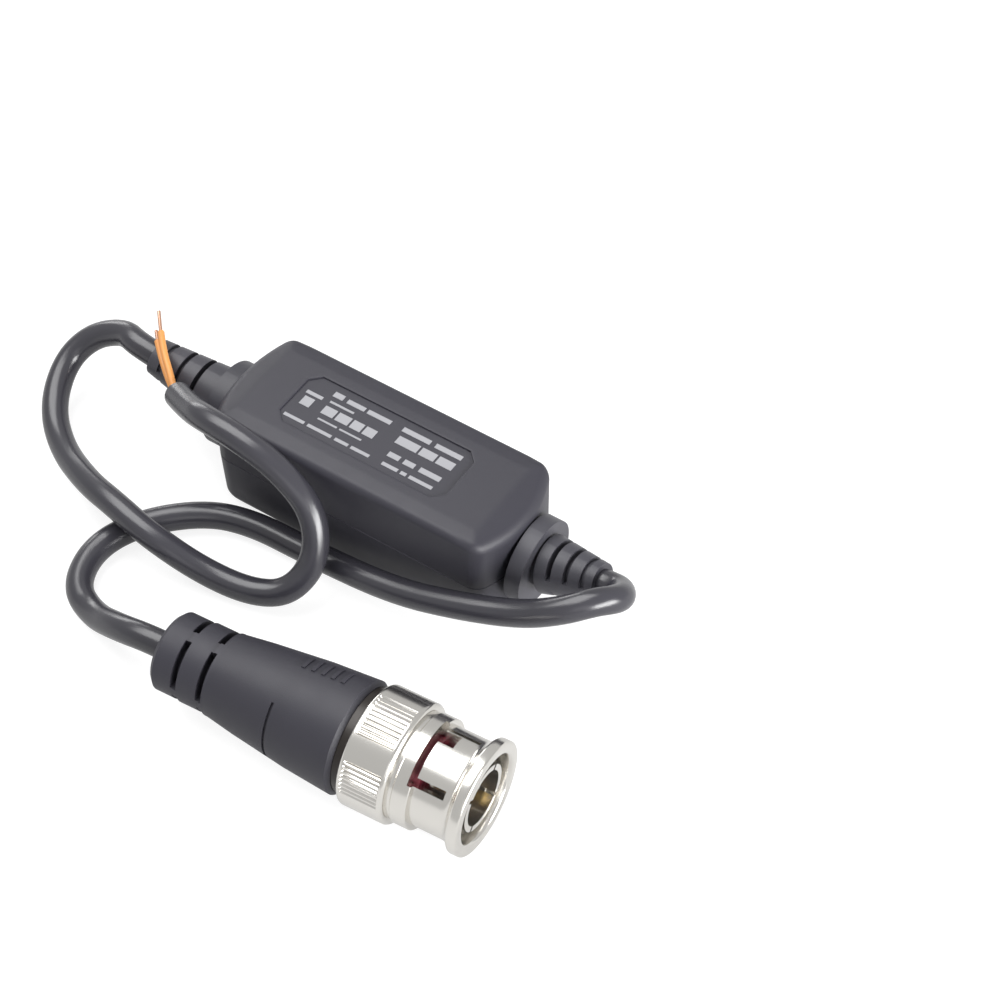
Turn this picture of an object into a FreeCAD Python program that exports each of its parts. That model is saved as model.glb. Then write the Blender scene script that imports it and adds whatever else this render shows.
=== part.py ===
"""CCTV video balun: a small two-shell housing with a moulded strain relief at each end, a short
coaxial lead with a bayonet plug, and a short pair lead with two stripped wires.

Millimetres, +Z up. The origin is the centre of the housing's bottom face, which rests on the
table, and +X runs along the housing towards the coaxial lead. The plug lies on the table in
front of the housing. Its own pieces are drawn in a frame of their own: the plug's axis is X,
and the coupling nut's front face is at X = 0, so a depth behind that face is a negative X.
"""
import FreeCAD
import Part
import math
import os

import Sketcher
from FreeCAD import Placement, Rotation, Vector

doc = FreeCAD.newDocument("video_balun")

# Driving sizes
SIZES = [
    ("case_corner_length", 37.0, "housing length between its corners"),
    ("case_width", 15.6, "housing width"),
    ("case_height", 15.9, "housing height"),
    ("case_parting", 8.2, "height of the parting plane between the shells"),
    ("case_wall", 1.5, "wall of both shells"),
    ("end_bulge", 2.0, "how far each end bows out at its middle"),
    ("case_corner_round", 1.2, "radius of the upright corners"),
    ("case_top_round", 0.9, "radius round the top"),
    ("end_slope_run", 3.5, "length over which the top falls towards each end"),
    ("end_slope_drop", 1.1, "fall of the top at the middle of each end"),
    ("side_slope_run", 2.3, "width over which the top falls towards each side"),
    ("side_slope_drop", 0.3, "fall of the top at the sides"),
    ("case_bottom_round", 1.1, "radius round the bottom"),
    ("tongue_height", 0.9, "locating tongue of the lower shell"),
    ("tongue_thickness", 0.7, "thickness of that tongue"),
    ("tongue_clearance", 0.1, "room for the tongue in the upper shell"),
    ("label_length", 23.6, "label recess along the housing"),
    ("label_width", 8.2, "label recess across the housing"),
    ("label_depth", 0.25, "depth of the label recess"),
    ("label_clip", 1.3, "clipped corners of the label recess"),
    ("label_offset", -0.65, "label recess from the middle, towards the coaxial end"),
    ("lead_radius", 1.65, "outer radius of both leads"),
    ("neck_radius", 3.4, "neck of a strain relief, through the housing end"),
    ("neck_clearance", 0.1, "room round that neck"),
    ("flange_radius", 5.4, "outer flange of a strain relief"),
    ("flange_thickness", 2.0, "thickness of that flange"),
    ("flange_gap", 0.2, "gap between the flange and the housing's end"),
    ("lock_radius", 4.8, "inner flange that locks the relief in the shells"),
    ("lock_thickness", 1.2, "thickness of the inner flange"),
    ("cone_root_radius", 3.9, "tapered part at the flange"),
    ("coax_neck_end", 2.75, "end of the deep neck behind the coaxial relief's flange"),
    ("coax_neck_radius", 2.9, "deep neck of the coaxial relief"),
    ("coax_cone_radius", 3.6, "tapered part behind that neck"),
    ("cone_tip_radius", 2.3, "tapered part at the tip"),
    ("slot_core_radius", 2.15, "what the slots leave round the lead"),
    ("slot_width", 0.65, "width of a strain relief's slots"),
    ("slot_sweep", 150.0, "angle that a slot runs round"),
    ("relief_pivot", 21.0, "where the reliefs start to bend, from the housing's middle"),
    ("coax_relief_length", 9.8, "bend to tip on the coaxial side"),
    ("coax_relief_rise", 12.0, "upward bend of the coaxial relief in degrees"),
    ("coax_slot_start", 4.15, "first slot of the coaxial relief"),
    ("coax_slot_pitch", 2.05, "slot pitch of the coaxial relief"),
    ("pair_relief_length", 12.6, "bend to tip on the pair side"),
    ("pair_relief_rise", 7.0, "upward bend of the pair relief in degrees"),
    ("pair_slot_start", 5.2, "first slot of the pair relief"),
    ("pair_slot_pitch", 2.6, "slot pitch of the pair relief"),
    ("board_end_room", 5.5, "from the housing's corners to the ends of the circuit board"),
    ("board_side_room", 0.4, "from the housing's walls to the sides of the circuit board"),
    ("board_thickness", 1.0, "circuit board thickness"),
    ("board_underside", 5.0, "height of the board's underside"),
    ("post_radius", 1.0, "posts that carry the board"),
    ("post_inset", 1.9, "posts from the board's edges"),
    ("core_inner", 1.8, "bore radius of the transformer core"),
    ("core_outer", 3.6, "outer radius of the transformer core"),
    ("core_height", 2.8, "height of the transformer core"),
    ("core_place", 1.5, "transformer from the housing's middle"),
    ("turn_clearance", 0.05, "room between a turn and the core"),
    ("wire_thickness", 0.4, "thickness of the winding wire"),
    ("wire_band", 0.6, "width of a turn"),
    ("arrester_radius", 2.2, "surge arrester radius"),
    ("arrester_length", 5.0, "surge arrester length"),
    ("arrester_cap", 0.9, "metal cap at each end of the arrester"),
    ("arrester_waist", 0.2, "how far the arrester's middle is below its caps"),
    ("arrester_place", -6.4, "surge arrester from the housing's middle"),
    ("capacitor_length", 4.6, "capacitor across the board"),
    ("capacitor_thickness", 2.2, "capacitor along the board"),
    ("capacitor_height", 4.2, "capacitor height"),
    ("capacitor_place", 7.6, "capacitor from the housing's middle"),
    ("tail_jacket_length", 3.0, "jacket that shows inside the housing"),
    ("tail_bare_length", 3.2, "insulated wire from the jacket to the bend"),
    ("dielectric_radius", 0.8, "dielectric of the coaxial lead"),
    ("solder_wire_radius", 0.3, "bare wire that goes down to the board"),
    ("pair_wire_radius", 0.43, "insulated wire of the pair lead"),
    ("pair_wire_spread", 0.6, "each wire of the pair from the lead's middle"),
    ("strand_radius", 0.22, "bundle of bare strands"),
    ("plug_x", 34.896, "nut's front face in the housing's frame"),
    ("plug_y", -30.114, "nut's front face in the housing's frame"),
    ("plug_turn", 3.944, "plug's axis from +X in degrees"),
    ("plug_length", 41.0, "nut's front face to the boot's rear face"),
    ("nut_rim_radius", 6.9, "front rim of the coupling nut"),
    ("nut_rim_length", 1.2, "cylindrical part of the rim"),
    ("nut_flare_length", 1.0, "flare from the rim down to the waist"),
    ("nut_waist_radius", 5.95, "waist with the bayonet slots"),
    ("nut_ring_depth", 6.5, "front of the ring behind the waist"),
    ("nut_ring_radius", 6.6, "ring behind the waist"),
    ("nut_neck_depth", 8.5, "front of the neck in front of the grip"),
    ("nut_neck_radius", 6.4, "neck in front of the grip"),
    ("nut_grip_depth", 9.1, "front of the grip"),
    ("nut_grip_radius", 7.25, "grip, the plug's largest radius"),
    ("nut_length", 15.0, "coupling nut length"),
    ("nut_edge", 0.35, "chamfer of the grip's edges"),
    ("nut_bore_radius", 4.9, "bore that goes over the jack"),
    ("nut_mouth_radius", 5.5, "mouth of the bore at the rim"),
    ("nut_mouth_depth", 0.9, "depth of the bevelled mouth"),
    ("nut_shoulder_depth", 8.6, "shoulder behind the bore"),
    ("nut_chamber_radius", 5.85, "chamber for the spring behind the shoulder"),
    ("entry_angle", 45.0, "entry slot, from the side that faces the camera, upwards"),
    ("entry_width", 1.0, "entry slot width"),
    ("entry_front", 2.8, "entry slot's front end"),
    ("ramp_front", 6.35, "front edge of the ramp slot"),
    ("ramp_rear", 7.0, "rear edge of the ramp slot"),
    ("seat_angle", 105.0, "bayonet seat, measured as the entry"),
    ("seat_width", 1.9, "bayonet seat across"),
    ("seat_front", 4.5, "front end of the bayonet seat"),
    ("relief_angle", 119.0, "narrow relief cut beside the seat"),
    ("relief_width", 0.5, "width of that cut"),
    ("relief_front", 2.4, "front end of that cut"),
    ("knurl_pitch", 4.6, "pitch of the grip's ribs in degrees"),
    ("knurl_depth", 0.28, "depth between the ribs"),
    ("knurl_width", 0.42, "width between the ribs"),
    ("knurl_margin", 0.6, "plain edge at both ends of the ribs"),
    ("body_clearance", 0.08, "running clearance between the nut and the plug body"),
    ("contact_front", 0.5, "front of the outer contact"),
    ("contact_radius", 4.05, "outer contact that enters the jack"),
    ("contact_bore", 3.35, "bore of the outer contact"),
    ("contact_slot_width", 0.45, "slots between the contact's fingers"),
    ("contact_slot_length", 4.6, "length of those slots"),
    ("seat_step", 5.4, "step of the outer contact in front of the gasket"),
    ("seat_radius", 3.7, "gasket's seat behind that step"),
    ("gasket_front", 6.3, "front of the gasket"),
    ("gasket_length", 1.3, "gasket length"),
    ("gasket_radius", 4.75, "outer radius of the gasket"),
    ("body_flange_length", 1.2, "flange that the spring pushes on"),
    ("barrel_radius", 4.5, "barrel of the plug body"),
    ("barrel_end", 22.0, "rear end of the plug body"),
    ("tail_bore", 1.7, "bore for the lead at the rear"),
    ("spring_height", 1.2, "free height of the wave washer"),
    ("spring_inner", 4.75, "inner radius of the wave washer"),
    ("washer_thickness", 0.5, "thrust washer"),
    ("washer_inner", 4.58, "bore radius of the thrust washer"),
    ("washer_outer", 5.75, "outer radius of the washers"),
    ("ring_thickness", 0.8, "retaining ring"),
    ("ring_inner", 5.0, "bore radius of the retaining ring"),
    ("ring_seat", 6.35, "bottom radius of the retaining ring's groove"),
    ("ring_gap", 1.6, "opening of the retaining ring"),
    ("stack_gap", 0.03, "gap between neighbours along the plug's axis"),
    ("collar_gap", 0.15, "gap between the nut and the rear collar"),
    ("collar_radius", 6.3, "rear collar"),
    ("collar_thickness", 0.9, "rear collar's thickness"),
    ("bead_front", 9.0, "front of the insulator"),
    ("bead_length", 4.0, "insulator length"),
    ("pin_radius", 0.675, "centre contact"),
    ("pin_front", 1.8, "tip of the centre contact"),
    ("pin_length", 13.5, "centre contact length"),
    ("pin_point", 0.5, "length of the pin's rounded point"),
    ("pin_shoulder", 8.6, "where the centre contact gets thicker for the insulator"),
    ("pin_rear_radius", 0.85, "centre contact in the insulator"),
    ("boot_front_radius", 6.9, "boot at the collar"),
    ("boot_front_edge", 0.5, "bevel at the boot's front"),
    ("boot_shoulder_depth", 22.7, "where the boot's taper steepens"),
    ("boot_shoulder_radius", 6.45, "radius there"),
    ("boot_waist_depth", 29.7, "where it steepens again"),
    ("boot_waist_radius", 5.62, "radius there"),
    ("boot_tail_depth", 33.5, "end of the taper"),
    ("boot_tail_radius", 5.07, "radius there"),
    ("boot_slot_depth", 33.8, "front of the first tail slot"),
    ("boot_slot_width", 0.85, "width of the tail slots"),
    ("boot_slot_pitch", 3.4, "pitch of the tail slots"),
    ("boot_slot_core", 3.4, "what the tail slots leave"),
    ("boot_slot_sweep", 74.0, "angle that a tail slot runs round"),
    ("boot_slot_angle", 43.0, "middle of the tail slots, measured as the entry"),
    ("middle_ring_radius", 4.9, "ring between the tail slots"),
    ("rear_ring_radius", 4.8, "ring at the boot's rear"),
    ("boot_rib_depth", 18.9, "first grip rib"),
    ("boot_rib_pitch", 1.25, "pitch of the grip ribs"),
    ("boot_rib_width", 0.4, "width of a grip rib"),
    ("boot_rib_height", 0.16, "height of a grip rib"),
    ("boot_rib_angle", 115.0, "middle of the grip ribs, measured as the entry"),
    ("boot_rib_sweep", 22.0, "angle that a grip rib runs round"),
    ("panel_groove_depth", 24.7, "groove at the end of the side panel"),
    ("panel_groove_width", 0.35, "width of that groove"),
    ("panel_groove_bottom", 0.3, "depth of that groove"),
    ("panel_groove_angle", 18.0, "middle of that groove, measured as the entry"),
    ("panel_groove_sweep", 76.0, "angle that the groove runs round"),
]
TURNS = 8
SLOTS_COAX = 3
SLOTS_PAIR = 3
BOOT_RIBS = 5
FINGERS = 4
KNURL_ZONES = ((5.0, 8), (65.0, 10))

# Routes of the free leads. Each one lies on the table or on what it crosses.
COAX_ROUTE = [
    (30.5858, 0.0, 10.2375), (32.41, 0.0, 10.6252), (33.8, -0.87, 11.51), (34.64, -3.02, 13.34),
    (33.07, -5.63, 14.49), (30.21, -8.01, 13.38), (25.5, -9.22, 10.58), (17.91, -10.41, 7.99),
    (9.0, -10.9, 5.0), (-3.9, -9.9, 2.2), (-12.4, -9.7, 1.7), (-18.2, -11.6, 1.7),
    (-23.7, -17.0, 1.7), (-26.0, -23.1, 1.7), (-24.2, -29.0, 1.7), (-19.4, -31.4, 2.2),
    (-13.6, -33.0, 5.8), (-9.199, -33.154, 7.25), (-6.007, -32.934, 7.25)]
PAIR_ROUTE = [
    (-33.5061, 0.0, 9.7355), (-36.5830, 0.0, 10.1133), (-39.8, 1.3, 9.4), (-44.2, 0.0, 7.2),
    (-46.0, -3.6, 4.6), (-43.9, -9.1, 2.6), (-38.8, -13.5, 2.2), (-31.2, -17.4, 4.6),
    (-25.6, -19.0, 5.8), (-19.6, -20.3, 5.6), (-12.9, -19.4, 2.6), (-6.4, -18.4, 1.8),
    (-2.0, -16.6, 2.8), (-0.4, -13.0, 6.2), (-2.2, -10.4, 11.2), (-7.0, -9.9, 15.0),
    (-12.8, -9.9, 17.0), (-18.6, -9.2, 16.4), (-22.4, -7.5, 14.2), (-25.9, -5.5, 12.5)]
# The two wires leave the pair lead's end one over the other and lie over its strain relief.
WIRE_A_ROUTE = [
    (-26.086, -5.394, 13.007), (-27.126, -4.8, 12.502), (-28.385, -3.697, 13.05),
    (-31.085, -1.505, 13.7), (-33.292, 0.835, 13.4)]
WIRE_A_STRANDS = [(-33.292, 0.835, 13.4), (-34.492, 2.107, 13.237), (-35.681, 3.468, 13.4)]
WIRE_B_ROUTE = [
    (-25.714, -5.606, 11.993), (-26.754, -5.012, 11.488), (-28.73, -3.744, 11.9),
    (-30.542, -2.363, 12.4), (-32.014, -1.097, 12.6), (-33.275, 0.063, 12.5)]
WIRE_B_STRANDS = [(-33.275, 0.063, 12.5), (-33.965, 0.698, 12.445), (-34.587, 1.403, 12.4)]

sheet = doc.addObject("Spreadsheet::Sheet", "Sizes")
VALUES = {}
for row, (name, value, meaning) in enumerate(SIZES, start=1):
    sheet.set(f"A{row}", str(value))
    sheet.setAlias(f"A{row}", name)
    sheet.set(f"B{row}", meaning)
    VALUES[name] = value
doc.recompute()


class Size:
    """A length that knows its number and the formula that gives it from the sheet."""

    def __init__(self, number, formula):
        self.number = number
        self.formula = formula

    def __add__(self, other):
        other = as_size(other)
        return Size(self.number + other.number, f"({self.formula} + {other.formula})")

    def __sub__(self, other):
        other = as_size(other)
        return Size(self.number - other.number, f"({self.formula} - {other.formula})")

    def __mul__(self, other):
        other = as_size(other)
        return Size(self.number * other.number, f"({self.formula} * {other.formula})")

    def __truediv__(self, other):
        other = as_size(other)
        return Size(self.number / other.number, f"({self.formula} / {other.formula})")

    def __radd__(self, other):
        return as_size(other) + self

    def __rsub__(self, other):
        return as_size(other) - self

    def __rmul__(self, other):
        return as_size(other) * self

    def __neg__(self):
        return Size(-self.number, f"(-1 * {self.formula})")


def as_size(value):
    return value if isinstance(value, Size) else Size(float(value), repr(float(value)))


def size(name):
    return Size(VALUES[name], f"Sizes.{name}")


def bind(obj, prop, value):
    """Give a property its value and tie it to the sheet."""
    value = as_size(value)
    obj.setExpression(prop, value.formula)


def new_body(label, base=None, turn=None):
    """A body whose placement is tied to the sheet: base is its place, turn its angle about Z."""
    body = doc.addObject("PartDesign::Body", label)
    body.Label = label
    x, y, z = [as_size(v) for v in (base or (0, 0, 0))]
    angle = as_size(turn or 0)
    body.Placement = Placement(Vector(x.number, y.number, z.number), Rotation(Vector(0, 0, 1), angle.number))
    if base:
        for key, value in (("x", x), ("y", y), ("z", z)):
            bind(body, f"Placement.Base.{key}", value)
    if turn:
        bind(body, "Placement.Rotation.Angle", angle)
    return body


def plug_piece(label):
    """A body in the plug's own frame, lying on the table."""
    return new_body(label, (size("plug_x"), size("plug_y"), size("nut_grip_radius")), size("plug_turn"))


def origin_part(body, role):
    return next(item for item in body.Origin.OriginFeatures if item.Role == role)


def new_sketch(body, name, role, x=None, y=None, z=None, turn=None, about="z"):
    """A sketch on one of the body's own planes, shifted and turned in that plane's frame."""
    sketch = body.newObject("Sketcher::SketchObject", name)
    sketch.AttachmentSupport = (origin_part(body, role), [""])
    sketch.MapMode = "FlatFace"
    shift = [as_size(v or 0) for v in (x, y, z)]
    angle = as_size(turn or 0)
    axis = {"x": Vector(1, 0, 0), "z": Vector(0, 0, 1)}[about]
    sketch.AttachmentOffset = Placement(Vector(*[v.number for v in shift]), Rotation(axis, angle.number))
    for key, given, value in zip("xyz", (x, y, z), shift):
        if given is not None:
            bind(sketch, f"AttachmentOffset.Base.{key}", value)
    if turn is not None:
        bind(sketch, "AttachmentOffset.Rotation.Angle", angle)
    return sketch


def fix_point(sketch, geometry, position, x, y):
    """Put a point at x, y of the sketch. A plain 0 puts it on the axis."""
    for kind, axis, value in (("DistanceX", -2, x), ("DistanceY", -1, y)):
        if not isinstance(value, Size) and value == 0:
            sketch.addConstraint(Sketcher.Constraint("PointOnObject", geometry, position, axis))
        else:
            value = as_size(value)
            index = sketch.addConstraint(
                Sketcher.Constraint(kind, -1, 1, geometry, position, value.number))
            sketch.setExpression(f"Constraints[{index}]", value.formula)


def polygon(sketch, points):
    """A closed outline of straight lines, each corner tied to the sheet."""
    place = [Vector(as_size(x).number, as_size(y).number, 0) for x, y in points]
    first = sketch.GeometryCount
    count = len(points)
    for i in range(count):
        sketch.addGeometry(Part.LineSegment(place[i], place[(i + 1) % count]), False)
    for i in range(count):
        sketch.addConstraint(
            Sketcher.Constraint("Coincident", first + i, 2, first + (i + 1) % count, 1))
    for i, (x, y) in enumerate(points):
        fix_point(sketch, first + i, 1, x, y)


def circle(sketch, x, y, radius):
    centre = Vector(as_size(x).number, as_size(y).number, 0)
    index = sketch.addGeometry(Part.Circle(centre, Vector(0, 0, 1), as_size(radius).number), False)
    fix_point(sketch, index, 3, x, y)
    rule = sketch.addConstraint(Sketcher.Constraint("Radius", index, as_size(radius).number))
    sketch.setExpression(f"Constraints[{rule}]", as_size(radius).formula)


def rectangle(sketch, x0, x1, y0, y1):
    polygon(sketch, [(x0, y0), (x1, y0), (x1, y1), (x0, y1)])


def bowed_outline(sketch, half_length, half_width, bulge):
    """Two straight sides, and two ends that bow out by the bulge as arcs."""
    radius = (half_width * half_width + bulge * bulge) / (2 * bulge)
    middle = half_length + bulge - radius
    first = sketch.GeometryCount
    lx, wy = half_length.number, half_width.number
    half_angle = math.asin(wy / radius.number)
    sketch.addGeometry(Part.LineSegment(Vector(-lx, -wy, 0), Vector(lx, -wy, 0)), False)
    sketch.addGeometry(Part.ArcOfCircle(
        Part.Circle(Vector(middle.number, 0, 0), Vector(0, 0, 1), radius.number),
        -half_angle, half_angle), False)
    sketch.addGeometry(Part.LineSegment(Vector(lx, wy, 0), Vector(-lx, wy, 0)), False)
    sketch.addGeometry(Part.ArcOfCircle(
        Part.Circle(Vector(-middle.number, 0, 0), Vector(0, 0, 1), radius.number),
        math.pi - half_angle, math.pi + half_angle), False)
    for a, b in ((0, 1), (1, 2), (2, 3), (3, 0)):
        sketch.addConstraint(Sketcher.Constraint("Coincident", first + a, 2, first + b, 1))
    fix_point(sketch, first, 1, -half_length, -half_width)
    fix_point(sketch, first, 2, half_length, -half_width)
    fix_point(sketch, first + 2, 1, half_length, half_width)
    fix_point(sketch, first + 2, 2, -half_length, half_width)
    for arc in (first + 1, first + 3):
        rule = sketch.addConstraint(Sketcher.Constraint("Radius", arc, radius.number))
        sketch.setExpression(f"Constraints[{rule}]", radius.formula)


def pad(body, sketch, length, reverse=False, both_sides=False, name="Pad"):
    feature = body.newObject("PartDesign::Pad", name)
    feature.Profile = sketch
    feature.Length = as_size(length).number
    bind(feature, "Length", length)
    feature.Reversed = reverse
    feature.Midplane = both_sides
    doc.recompute()
    return feature


def pocket(body, sketch, length=None, reverse=False, both_sides=False, name="Pocket"):
    """Cut along the sketch's normal: downwards, or upwards if reverse. No length cuts through all."""
    before = body.Shape.Volume
    feature = body.newObject("PartDesign::Pocket", name)
    feature.Profile = sketch
    if length is None:
        feature.Type = "ThroughAll"
    else:
        feature.Length = as_size(length).number
        bind(feature, "Length", length)
    feature.Reversed = reverse
    feature.Midplane = both_sides
    doc.recompute()
    assert body.Shape.Volume < before - 1e-4, f"{body.Label}: {name} cuts nothing"
    return feature


def revolution(body, sketch, angle=360, both_sides=False, name="Revolution"):
    feature = body.newObject("PartDesign::Revolution", name)
    feature.Profile = sketch
    feature.ReferenceAxis = (sketch, ["H_Axis"])
    feature.Angle = as_size(angle).number
    if isinstance(angle, Size):
        bind(feature, "Angle", angle)
    feature.Midplane = both_sides
    doc.recompute()
    return feature


def groove(body, sketch, angle=360, both_sides=False, name="Groove"):
    before = body.Shape.Volume
    feature = body.newObject("PartDesign::Groove", name)
    feature.Profile = sketch
    feature.ReferenceAxis = (sketch, ["H_Axis"])
    feature.Angle = as_size(angle).number
    if isinstance(angle, Size):
        bind(feature, "Angle", angle)
    feature.Midplane = both_sides
    doc.recompute()
    assert body.Shape.Volume < before - 1e-4, f"{body.Label}: {name} cuts nothing"
    return feature


def polar_pattern(body, features, role, angle, count, name="Pattern"):
    pattern = body.newObject("PartDesign::PolarPattern", name)
    pattern.Originals = features
    pattern.Axis = (origin_part(body, role), [""])
    pattern.Angle = as_size(angle).number
    if isinstance(angle, Size):
        bind(pattern, "Angle", angle)
    pattern.Occurrences = int(as_size(count).number)
    if isinstance(count, Size):
        bind(pattern, "Occurrences", count)
    body.Tip = pattern
    doc.recompute()
    return pattern


def fillet(body, base, edges, radius, name="Fillet"):
    feature = body.newObject("PartDesign::Fillet", name)
    feature.Base = (base, edges)
    feature.Radius = as_size(radius).number
    bind(feature, "Radius", radius)
    doc.recompute()
    return feature


def edges_where(feature, test):
    """Names of the edges whose two ends and middle all pass the test."""
    names = []
    for index, edge in enumerate(feature.Shape.Edges, start=1):
        middle = edge.valueAt((edge.FirstParameter + edge.LastParameter) / 2)
        points = [vertex.Point for vertex in edge.Vertexes] + [middle]
        if all(test(point) for point in points):
            names.append(f"Edge{index}")
    return names


HALF_LENGTH = size("case_corner_length") / 2
HALF_WIDTH = size("case_width") / 2
WALL = size("case_wall")
PARTING = size("case_parting")
END_X = HALF_LENGTH + size("end_bulge")
HALF_BOARD_LENGTH = HALF_LENGTH - size("board_end_room")
HALF_BOARD_WIDTH = HALF_WIDTH - WALL - size("board_side_room")
NEAR = 1e-4


def shell_block(body, bottom, top):
    """The solid block of one shell with its rounded upright corners."""
    sketch = new_sketch(body, "Outline", "XY_Plane", z=bottom)
    bowed_outline(sketch, HALF_LENGTH, HALF_WIDTH, size("end_bulge"))
    block = pad(body, sketch, top - bottom, name="Block")
    middle = (top.number + bottom.number) / 2
    upright = edges_where(block, lambda p: abs(p.y) > HALF_WIDTH.number - NEAR
                          and abs(p.x) > HALF_LENGTH.number - NEAR)
    upright = [name for name in upright
               if abs(block.Shape.getElement(name).CenterOfMass.z - middle) < NEAR]
    return fillet(body, block, upright, size("case_corner_round"), "CornerRound")


def relief_holes(body):
    """The hole for the strain relief's neck through both ends."""
    sketch = new_sketch(body, "NeckHole", "YZ_Plane")
    circle(sketch, 0, PARTING, size("neck_radius") + size("neck_clearance"))
    pocket(body, sketch, 2 * END_X + 2 * WALL, both_sides=True, name="NeckHoles")


def make_housing_lower():
    """Lower shell: tray with a locating tongue and four posts for the board."""
    body = new_body("housing_lower")
    zero = size("case_parting") - PARTING
    rounded = shell_block(body, zero, PARTING)
    rim = edges_where(rounded, lambda p: abs(p.z) < NEAR)
    fillet(body, rounded, rim, size("case_bottom_round"), "BottomRound")
    tongue = new_sketch(body, "Tongue", "XY_Plane", z=PARTING)
    inset = WALL - size("tongue_thickness")
    bowed_outline(tongue, HALF_LENGTH - inset, HALF_WIDTH - inset, size("end_bulge"))
    pad(body, tongue, size("tongue_height"), name="TongueBlock")
    cavity = new_sketch(body, "Cavity", "XY_Plane", z=PARTING + size("tongue_height"))
    bowed_outline(cavity, HALF_LENGTH - WALL, HALF_WIDTH - WALL, size("end_bulge"))
    pocket(body, cavity, PARTING + size("tongue_height") - WALL, name="CavityCut")
    relief_holes(body)
    posts = new_sketch(body, "Posts", "XY_Plane", z=WALL)
    post_x = HALF_BOARD_LENGTH - size("post_inset")
    post_y = HALF_BOARD_WIDTH - size("post_inset")
    for x in (post_x, -post_x):
        for y in (post_y, -post_y):
            circle(posts, x, y, size("post_radius"))
    pad(body, posts, size("board_underside") - WALL, name="PostPads")
    return body


def slope_cut(body, name, role, end, run, drop):
    """Let the top fall by the drop over the last run before the end, on both sides of the middle."""
    top = size("case_height")
    sketch = new_sketch(body, name, role)
    start = end - run
    outside = end + run / 2
    for side in (1, -1):
        polygon(sketch, [(side * start, top), (side * outside, top - drop * 1.5),
                         (side * outside, top + run), (side * start, top + run)])
    return pocket(body, sketch, 4 * END_X, both_sides=True, name=name + "Cut")


def falling_edges(feature, top):
    """Names of the edges that bound the sloping top: the outer rim and the four mitres."""
    names = []
    for index, edge in enumerate(feature.Shape.Edges, start=1):
        rises = []
        for face in feature.Shape.ancestorsOfType(edge, Part.Face):
            low_u, high_u, low_v, high_v = face.ParameterRange
            rises.append(face.normalAt((low_u + high_u) / 2, (low_v + high_v) / 2).z)
        sloping = sum(rise > 0.5 for rise in rises)
        upright = sum(abs(rise) < 0.1 for rise in rises)
        rim = sloping == 1 and upright == 1
        mitre = sloping == 2 and edge.CenterOfMass.z < top - NEAR
        if rim or mitre:
            names.append(f"Edge{index}")
    return names


def make_housing_upper():
    """Upper shell: cover with a rebate for the tongue and a shallow label recess."""
    body = new_body("housing_upper")
    top = size("case_height")
    shell_block(body, PARTING, top)
    slope_cut(body, "EndSlopes", "XZ_Plane", END_X, size("end_slope_run"), size("end_slope_drop"))
    sloped = slope_cut(body, "SideSlopes", "YZ_Plane", HALF_WIDTH, size("side_slope_run"),
                       size("side_slope_drop"))
    fillet(body, sloped, falling_edges(sloped, top.number), size("case_top_round"), "TopRound")
    cavity = new_sketch(body, "Cavity", "XY_Plane", z=PARTING)
    bowed_outline(cavity, HALF_LENGTH - WALL, HALF_WIDTH - WALL, size("end_bulge"))
    pocket(body, cavity, top - WALL - PARTING, reverse=True, name="CavityCut")
    rebate = new_sketch(body, "Rebate", "XY_Plane", z=PARTING)
    inset = WALL - size("tongue_thickness") - size("tongue_clearance")
    bowed_outline(rebate, HALF_LENGTH - inset, HALF_WIDTH - inset, size("end_bulge"))
    pocket(body, rebate, size("tongue_height") + size("tongue_clearance"), reverse=True, name="RebateCut")
    relief_holes(body)
    label = new_sketch(body, "Label", "XY_Plane", z=top)
    middle = size("label_offset")
    x = size("label_length") / 2
    y = size("label_width") / 2
    clip = size("label_clip")
    corners = []
    for sx, sy in ((1, -1), (1, 1), (-1, 1), (-1, -1)):
        along = (middle + sx * (x - clip), sy * y)
        across = (middle + sx * x, sy * (y - clip))
        corners += [along, across] if sx * sy < 0 else [across, along]
    polygon(label, corners)
    pocket(body, label, size("label_depth"), name="LabelRecess")
    return body


def make_strain_relief(label, sign, length, rise, neck, slot_start, slot_pitch, slots):
    """A moulded relief: inner flange, neck through the housing end, outer flange, slotted taper."""
    body = new_body(label, (0, 0, PARTING), None if sign > 0 else 180)
    flange_rear = END_X + size("flange_gap")
    wall_inside = END_X - WALL
    # The inside of the end wall bows out too, so it is nearer at the inner flange's rim
    inner_half = HALF_WIDTH - WALL
    lock_front = (wall_inside - size("lock_radius") * size("lock_radius") * size("end_bulge")
                  / (inner_half * inner_half) - size("flange_gap"))
    root = new_sketch(body, "Root", "XZ_Plane")
    polygon(root, [
        (lock_front - size("lock_thickness"), 0),
        (lock_front - size("lock_thickness"), size("lock_radius")),
        (lock_front, size("lock_radius")),
        (lock_front, size("neck_radius")),
        (flange_rear, size("neck_radius")),
        (flange_rear, size("flange_radius")),
        (flange_rear + size("flange_thickness"), size("flange_radius")),
        (flange_rear + size("flange_thickness"), 0)])
    revolution(body, root, name="RootTurn")
    pivot = size("relief_pivot")
    taper = new_sketch(body, "Taper", "XZ_Plane", x=pivot, turn=rise)
    start = size("flange_thickness") / 2
    if neck:
        outline = [(start, 0), (start, neck[1]), (neck[0], neck[1]), (neck[0], neck[2])]
    else:
        outline = [(start, 0), (start, size("cone_root_radius"))]
    polygon(taper, outline + [(length, size("cone_tip_radius")), (length, 0)])
    revolution(body, taper, name="TaperTurn")
    cuts = new_sketch(body, "Slots", "XZ_Plane", x=pivot, turn=rise)
    for i in range(slots):
        front = slot_start + i * slot_pitch
        for side in (1, -1):
            rectangle(cuts, front, front + size("slot_width"),
                      side * size("slot_core_radius"), side * (size("cone_root_radius") + 1))
    groove(body, cuts, size("slot_sweep"), both_sides=True, name="SlotCuts")
    return body, lock_front - size("lock_thickness")


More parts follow.
